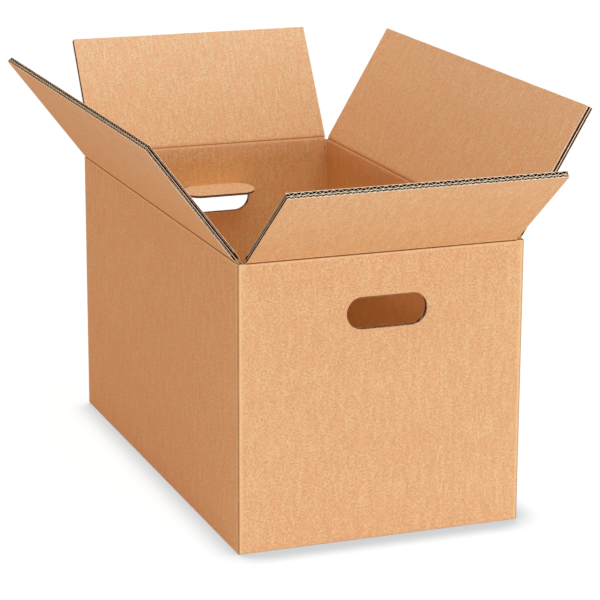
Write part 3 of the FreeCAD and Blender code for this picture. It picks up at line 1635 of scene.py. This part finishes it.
def flute_group() -> Tree:
    """Stripes at the flutes' pitch, painted shading of the ripple that the flutes press into a
    liner: a sine wave along the sheet.

    The wave is bent by a slow noise and its strength comes and goes with another.

    Returns:
        The node group.
    """
    w, given, result = new_group(
        "flute_ridges", {"Place": VECTOR, "Pitch": FLOAT}, {"Ridges": FLOAT}
    )
    across = w.node("ShaderNodeSeparateXYZ", {0: given["Place"]}).outputs[0]
    bend = w.math("MULTIPLY", w.noise(given["Place"], FLUTE_BENDS), FLUTE_BEND)
    turn = w.math("ADD", w.math("DIVIDE", across, given["Pitch"]), bend)
    wave = w.math("SINE", w.math("MULTIPLY", turn, 2 * math.pi))
    strength = w.share(given["Place"], FLUTE_STRENGTH, FLUTE_HOLD)
    w.put(result["Ridges"], w.math("MULTIPLY", wave, strength))
    return w.tree


def crease_group() -> Tree:
    """A crease: a dark line, partly the crushed paper's own colour and partly painted shade of the
    groove, with a painted highlight beside it.

    Returns:
        The node group.
    """
    w, given, result = new_group(
        "crease_wear",
        {
            "Place": VECTOR, "Mask": FLOAT, "Line Starts": FLOAT, "Line Ends": FLOAT,
            "Paling": FLOAT, "Paper": COLOUR, "Line": COLOUR, "Shoulder": COLOUR,
        },
        {"Colour": COLOUR},
    )
    pressed = w.remap(given["Mask"], given["Line Starts"], given["Line Ends"])
    breaks = w.share(given["Place"], CREASE_BREAKS, CREASE_HOLD)
    line = w.math("MULTIPLY", pressed, breaks)
    # painted highlight beside the crease
    shoulder = w.math("MULTIPLY", w.remap(given["Mask"], *HIGHLIGHT_REACH), given["Paling"])
    shade = w.mix(shoulder, given["Paper"], given["Shoulder"])
    w.put(result["Colour"], w.mix(line, shade, given["Line"]))
    return w.tree


@dataclass(frozen=True)
class KraftPaper:
    """Finish of one paper of the board. Colours are as they look, 0 to 255."""

    name: str
    pale: Colour
    deep: Colour
    speck: Colour
    clouds: float = 0.25
    clumps: float = 1.0
    fibres: float = 3.0
    streaks: float = 1.2
    streak_scale: Trio = (STREAKS.across, STREAKS.up, 1.0)
    # ridges: strength of the painted shading of the flutes' ripple
    ridges: float = 0.03
    ridge_pitch: float = 0.0078
    specks: float = 0.2
    blush: Colour = (238, 173, 128)
    blushing: float = 0.35
    # painted light and shade by height on the sheet, multiplied into the colour
    tints: tuple[tuple[float, Colour], ...] = ()  # height on the sheet and colour there
    # crease_line is partly the crushed paper's own colour and partly painted shade; shoulder and
    # paling set the painted highlight beside a crease
    crease_line: Colour = (124, 54, 4)
    shoulder: Colour = (255, 210, 158)
    line_starts: float = 0.35
    line_ends: float = 0.8
    paling: float = 0.5
    roughness: float = 0.88
    sheen: float = 0.07
    tone_swing: float = 0.4
    gloss: float = 0.25
    bump: float = 0.00004
    relief: float = 0.6

    def tint(self, w: Wiring, sheet: Socket) -> Socket:
        """Painted light and shade of the paper by its height on the sheet, in straight steps
        between the listed colours.

        Args:
            w: wiring of the material.
            sheet: the place on the sheet.

        Returns:
            The painted light and shade, which the paper's colour is multiplied by.
        """
        height = w.node("ShaderNodeSeparateXYZ", {0: sheet}).outputs[1]
        ramp = w.node("ShaderNodeValToRGB", {0: w.math("DIVIDE", height, SHEET_TOP)})
        stops = ramp.color_ramp.elements
        for number, (level, colour) in enumerate(self.tints):
            stop = stops[number] if number < 2 else stops.new(level / SHEET_TOP)
            stop.position, stop.color = level / SHEET_TOP, linear(colour)
        return ramp.outputs[0]

    def material(self, groups: dict[str, Tree]) -> bpy.types.Material:
        """Builds the paper's material.

        The tone, fibres plus ridges, picks a colour between deep and pale; the ridges are painted
        shading of the ripple that the flutes press into a liner. It is multiplied by painted light
        and shade by height: painted light towards the flaps' free edges, painted shade at their
        roots and lower down inside the box. Specks and the crease line, partly the crushed paper's
        colour and partly painted shade, with a painted highlight beside it, are laid over it, and
        the fibres raise a very fine relief.

        Args:
            groups: the node groups that all papers share, by name.

        Returns:
            The material.
        """
        material = bpy.data.materials.new(self.name)
        material.use_nodes = True
        w = Wiring(material.node_tree)
        shader = material.node_tree.nodes["Principled BSDF"]
        sheet = w.node("ShaderNodeUVMap", {}, uv_map="sheet").outputs[0]
        mask = w.node("ShaderNodeAttribute", {}, attribute_name="crease").outputs["Fac"]
        amounts = {
            "Place": sheet, "Clouds": self.clouds, "Clumps": self.clumps,
            "Fibres": self.fibres, "Streaks": self.streaks, "Streak Scale": self.streak_scale,
        }
        fibres = w.group(groups["fibres"], amounts)
        flutes = w.group(groups["flutes"], {"Place": sheet, "Pitch": self.ridge_pitch})
        # painted shading of the flutes' ripple
        ridges = w.math("MULTIPLY", flutes["Ridges"], self.ridges)
        tone = w.math("ADD", w.math("ADD", fibres["Tone"], ridges), MIDDLE)
        share = w.node("ShaderNodeClamp", {0: tone}).outputs[0]
        paper = w.mix(share, linear(self.deep), linear(self.pale))
        redder = w.math("MULTIPLY", fibres["Blush"], self.blushing)
        paper = w.mix(redder, paper, linear(self.blush))
        if self.tints:
            # painted light and shade by height
            paper = w.mix(1.0, paper, self.tint(w, sheet), "MULTIPLY")
        speck = w.math("MULTIPLY", fibres["Specks"], self.specks)
        paper = w.mix(speck, paper, linear(self.speck))
        crease_shading = {
            "Place": sheet, "Mask": mask, "Line Starts": self.line_starts,
            "Line Ends": self.line_ends, "Paling": self.paling, "Paper": paper,
            "Line": linear(self.crease_line), "Shoulder": linear(self.shoulder),
        }
        w.put(shader.inputs["Base Color"], w.group(groups["crease"], crease_shading)["Colour"])
        ends = (self.roughness - self.sheen, self.roughness + self.sheen)
        rough = w.remap(fibres["Tone"], -self.tone_swing, self.tone_swing, ends)
        w.put(shader.inputs["Roughness"], rough)
        w.put(shader.inputs["Specular IOR Level"], self.gloss)
        relief = {"Strength": self.relief, "Distance": self.bump, "Height": fibres["Height"]}
        w.put(shader.inputs["Normal"], w.node("ShaderNodeBump", relief).outputs[0])
        return material


PAPERS = {
    Paper.OUTER: KraftPaper(
        "kraft_outer_liner", pale=(246, 200, 158), deep=(226, 168, 126), speck=(172, 108, 66),
        # a little lighter at the foot of the walls, painted shade at the flaps' roots just above
        # the crease, painted light growing towards the flaps' free edges
        tints=(
            (0.0, (255, 252, 243)), (0.09, (250, 246, 234)), (0.3095, (250, 247, 235)),
            (0.3125, (249, 240, 218)), (0.39, (251, 245, 232)), (0.46, (253, 251, 246)),
        ),
    ),
    Paper.INNER: KraftPaper(
        "kraft_inner_liner", pale=(242, 203, 163), deep=(223, 173, 132), speck=(172, 108, 66),
        ridges=0.06, streaks=1.5, streak_scale=(290.0, 50.0, 1.0), crease_line=(172, 98, 46),
        line_starts=0.55, line_ends=1.05, paling=0.1,
        # painted shade low in the box and on the bottom flaps, lighter at mid height, painted shade
        # again just under the crease, painted light growing towards the flaps' free edges
        tints=(
            (0.0, (220, 202, 162)), (0.145, (234, 214, 174)), (0.18, (255, 243, 205)),
            (0.245, (255, 240, 202)), (0.29, (243, 224, 184)), (0.314, (251, 241, 228)),
            (0.39, (252, 248, 242)), (0.46, (255, 255, 255)),
        ),
    ),
    # painted shade: the darkness of the flute hollows, on paper that is really the same kraft as
    # the liners
    Paper.FLUTING: KraftPaper(
        "kraft_fluting", pale=(86, 34, 14), deep=(50, 20, 9), speck=(40, 20, 12),
        blushing=0.0, gloss=0.0, ridges=0.0, crease_line=(206, 150, 104),
        shoulder=(206, 150, 104),
    ),
    Paper.RAW_EDGE: KraftPaper(
        "kraft_cut_edge", pale=(255, 232, 208), deep=(242, 206, 172), speck=(160, 112, 76),
        blushing=0.0, ridges=0.0, crease_line=(190, 130, 88),
    ),
}


# ---------------------------------------------------------------------------------- studio
@dataclass(frozen=True)
class Lamp:
    """A square soft lamp: its place, its side and its colour times power in watts."""

    name: str
    place: Trio
    size: float
    power: Trio


@dataclass
class Studio:
    """Floor, lights and camera round the box."""

    floor_reach: float = 14.0
    floor_white: float = 0.82
    floor_glow: float = 0.9
    glow_strength: float = 1.07
    # contact_*: a painted contact shadow on the floor, from an ambient occlusion node whose tilted
    # normal makes it reach further in front than at the sides
    contact_reach: float = 0.042
    contact_samples: int = 16
    contact_starts: float = 0.45
    contact_lean: Trio = (-0.1, 0.35, 0.93)
    contact_grey: Colour = (201, 204, 207)
    # painted shade of the floor under the box, seen through the bottom seam
    covered_brown: Colour = (74, 44, 26)
    covered_edge: float = 0.01
    sky: Trio = (0.665, 0.5, 0.37)
    lamps: tuple[Lamp, ...] = (
        Lamp("key_lamp", (1.1, -4.4, 1.1), 2.4, (54.0, 77.0, 94.0)),
        Lamp("top_lamp", (0.2, -0.9, 3.6), 2.8, (38.0, 58.0, 64.0)),
    )
    aim: Trio = (0.0, 0.0, 0.2)
    camera_place: Trio = (-0.959820945, -2.57953116, 0.934352442)
    azimuth: float = 0.360939573
    elevation: float = 0.264828096
    roll: float = 0.00399961292
    lens: float = 150.433
    sensor: float = 36.0
    view_reach: float = 100.0

    def floor(self) -> None:
        """Adds a wide square at height 0."""
        edge = np.array([-1.0, 1.0]) * self.floor_reach
        corners = [(x, y, 0.0) for x, y in zip(edge[[0, 1, 1, 0]], edge[[0, 0, 1, 1]])]
        mesh = bpy.data.meshes.new("studio_floor")
        mesh.from_pydata(corners, [], [(0, 1, 2, 3)])
        mesh.materials.append(self.floor_material())
        in_scene("studio_floor", mesh)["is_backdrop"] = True

    def floor_material(self) -> bpy.types.Material:
        """White floor that lights the box by what falls on it, and looks white itself.

        Most of what the camera sees is a white glow, over a share of the lit floor with its
        shadows. The glow is greyer where something stands close by, a painted contact shadow from
        an ambient occlusion node with a tilted normal, and brown under the box, painted shade where
        it shows through the bottom seam.

        Returns:
            The material.
        """
        material = bpy.data.materials.new("studio_floor")
        w = Wiring.fresh(material)
        white = (*[self.floor_white] * 3, 1.0)
        paint = w.node("ShaderNodeBsdfDiffuse", {"Color": white}).outputs[0]
        lean = w.node("ShaderNodeCombineXYZ", dict(enumerate(self.contact_lean))).outputs[0]
        # painted contact shadow: occlusion close by the box greys the floor's glow
        near = w.node(
            "ShaderNodeAmbientOcclusion",
            {"Distance": self.contact_reach, "Normal": lean},
            samples=self.contact_samples,
        ).outputs["AO"]
        share = w.remap(near, self.contact_starts, 1.0)
        glow = w.mix(share, linear(self.contact_grey), WHITE)
        position = w.node("ShaderNodeNewGeometry", {}).outputs["Position"]
        along = w.node("ShaderNodeSeparateXYZ", {0: position}).outputs
        _, half_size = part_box("box_body")
        under = [
            w.math("LESS_THAN", w.math("ABSOLUTE", distance), half - self.covered_edge)
            for distance, half in zip(along[:2], half_size)
        ]
        # painted shade under the box
        glow = w.mix(w.math("MULTIPLY", *under), glow, linear(self.covered_brown))
        inputs = {"Color": glow, "Strength": self.glow_strength}
        light = w.node("ShaderNodeEmission", inputs).outputs[0]
        glowing = w.math("MULTIPLY", w.seen(), self.floor_glow)
        both = w.node("ShaderNodeMixShader", {0: glowing, 1: paint, 2: light}).outputs[0]
        w.node("ShaderNodeOutputMaterial", {"Surface": both})
        return material

    def sky_world(self) -> None:
        """Even soft light from all round, which the camera sees as white."""
        world = bpy.data.worlds.new("studio")
        bpy.context.scene.world = world
        w = Wiring.fresh(world)
        colour = w.mix(w.seen(), (*self.sky, 1.0), WHITE)
        light = w.node("ShaderNodeBackground", {"Color": colour, "Strength": 1.0}).outputs[0]
        w.node("ShaderNodeOutputWorld", {"Surface": light})

    def light(self, lamp: Lamp) -> None:
        """Adds a lamp, turned to face the box.

        Args:
            lamp: what to add.
        """
        data = bpy.data.lights.new(lamp.name, "AREA")
        data.shape = "SQUARE"
        data.size = lamp.size
        data.energy = max(lamp.power)
        data.color = [channel / data.energy for channel in lamp.power]
        place = Vector(lamp.place)
        turn = (Vector(self.aim) - place).to_track_quat("-Z", "Y").to_matrix().to_4x4()
        in_scene(lamp.name, data).matrix_world = Matrix.Translation(place) @ turn

    def camera(self) -> None:
        """Adds a camera aimed by its azimuth, elevation and roll."""
        ahead = Vector(
            (
                math.sin(self.azimuth) * math.cos(self.elevation),
                math.cos(self.azimuth) * math.cos(self.elevation),
                -math.sin(self.elevation),
            )
        )
        right = ahead.cross(Vector(UP)).normalized()
        up = right.cross(ahead)
        sin, cos = math.sin(self.roll), math.cos(self.roll)
        axes = Matrix((right * cos + up * sin, up * cos - right * sin, -ahead)).transposed()
        data = bpy.data.cameras.new("camera")
        data.sensor_width = self.sensor
        data.lens = self.lens
        data.clip_end = self.view_reach
        camera = in_scene("camera", data)
        camera.matrix_world = Matrix.Translation(Vector(self.camera_place)) @ axes.to_4x4()
        bpy.context.scene.camera = camera

    def build(self) -> None:
        """Sets up the whole studio and how colours are shown."""
        bpy.context.scene.view_settings.view_transform = "Standard"
        self.floor()
        self.sky_world()
        for lamp in self.lamps:
            self.light(lamp)
        self.camera()


# ------------------------------------------------------------------------------------- box
@dataclass
class CorrugatedBox:
    """Builds the whole box on the frame's bodies."""

    grade: BoardGrade = field(default_factory=BoardGrade)
    fold_below: float = 0.0085
    lap_clear: float = 0.022
    end_flap_short: float = 0.00465
    clearance: float = 0.0002
    back_notch: float = 0.001

    def __post_init__(self) -> None:
        """Reads the sizes of walls, flaps and handholds, and builds the papers."""
        _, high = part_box("box_body")
        self.post_top = high[2]
        self.fold_low = high[2] - self.fold_below
        self.walls: dict[Side, Wall] = {}
        lost = BoxShell.corner_radius * (1 - math.pi / 4)
        sheet_x = 0.0
        for side in Side:
            half, reach = (high[0], high[1]) if side in ENDS else (high[1], high[0])
            self.walls[side] = Wall(side, half, reach, sheet_x + half - lost)
            sheet_x += 2 * (half - lost)
        self.flaps = {side: FlapFrame.read(wall) for side, wall in self.walls.items()}
        self.thickness = self.flaps[Side.FRONT].face - self.flaps[Side.FRONT].back
        inside_end = self.walls[Side.FRONT].reach - self.thickness - self.clearance
        for side in LONG_SIDES:  # their flaps shut between the folds of the end flaps
            self.flaps[side].half_span = min(self.flaps[side].half_span, inside_end)
        self.handholds = {side: Handhold.read(self.walls[side]) for side in ENDS}
        groups = {"fibres": fibre_group(), "flutes": flute_group(), "crease": crease_group()}
        self.materials = [PAPERS[paper].material(groups) for paper in Paper]

    def add(self, name: str, shell: Shell, body: Optional[str] = None) -> bpy.types.Object:
        """Makes a piece, and lets it ride on a body if one is named.

        Args:
            name: the piece's name.
            shell: its arrays.
            body: the body it rides on.

        Returns:
            The piece's object.
        """
        piece = make_piece(name, shell, self.materials)
        if body:
            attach(piece, body)
        return piece

    def box(self) -> None:
        """Walls, bottom flaps and glue lap, which stand for the CAD body of the box."""
        walls = list(self.walls.values())
        shell = BoxShell(
            self.grade, self.thickness, walls, self.flaps, self.handholds, self.post_top,
            self.fold_low,
        )
        piece = self.add("box_walls", shell.build(), "box")
        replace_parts(piece, "box_body")
        end_flap = self.flaps[Side.FRONT]
        bottom = BottomFlaps(
            self.grade, self.thickness, walls, end_flap.half_span,
            end_flap.tip - self.end_flap_short,
        )
        self.add("bottom_flaps", bottom.build(), "box")
        lap = GlueLap(
            self.grade,
            self.walls[Side.LEFT],
            self.thickness,
            low=2 * self.thickness + self.lap_clear,
            high=self.post_top - self.thickness - self.lap_clear,
        )
        self.add("glue_lap", lap.build(), "box")

    def top_flap(self, side: Side) -> None:
        """One top flap: its board on its own body, and the fold between it and the box.

        Args:
            side: the wall that carries the flap.
        """
        flap = TopFlap(
            self.grade, self.thickness, self.flaps[side], self.fold_low, self.post_top,
            notch=self.back_notch if side is Side.BACK else 0.0,
            tight_bend=side in ENDS,
        )
        self.hinged(flap, side.label + "_flap", side.label + "_flap")

    def handhold_tab(self, side: Side) -> None:
        """The tab of the handhold in this end wall, in the same two pieces."""
        tab = HandholdTab(self.grade, self.handholds[side])
        self.hinged(tab, side.label + "_tab", side.label + "_handhold_tab")

    def hinged(self, part: Union[TopFlap, HandholdTab], body: str, node: str) -> None:
        """A moving part's two pieces.

        Args:
            part: the flap or the tab.
            body: the body that it moves with, which its pieces are named after.
            node: the CAD node that it stands for.
        """
        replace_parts(self.add(body + "_board", part.board(), body), node)
        start, end = part.bend_line()
        fold = self.add(body + "_fold", part.fold())
        tuple(start)
        tuple(end)
        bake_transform(fold)

    def build(self) -> None:
        """Builds every piece."""
        self.box()
        for side in Side:
            self.top_flap(side)
        for side in self.handholds:
            self.handhold_tab(side)


def corners(bounds: tuple) -> list[list[float]]:
    """A box's lowest and highest corners as plain lists."""
    return [[float(v) for v in corner] for corner in bounds]


def main() -> None:
    """Builds the studio and the box."""
    logging.basicConfig(level=logging.INFO, format="%(name)s: %(message)s")
    cad_box = corners(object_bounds())
    Studio().build()
    CorrugatedBox().build()
    {"cad": cad_box, "visual": corners(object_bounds())}


if __name__ == "__main__":
    main()
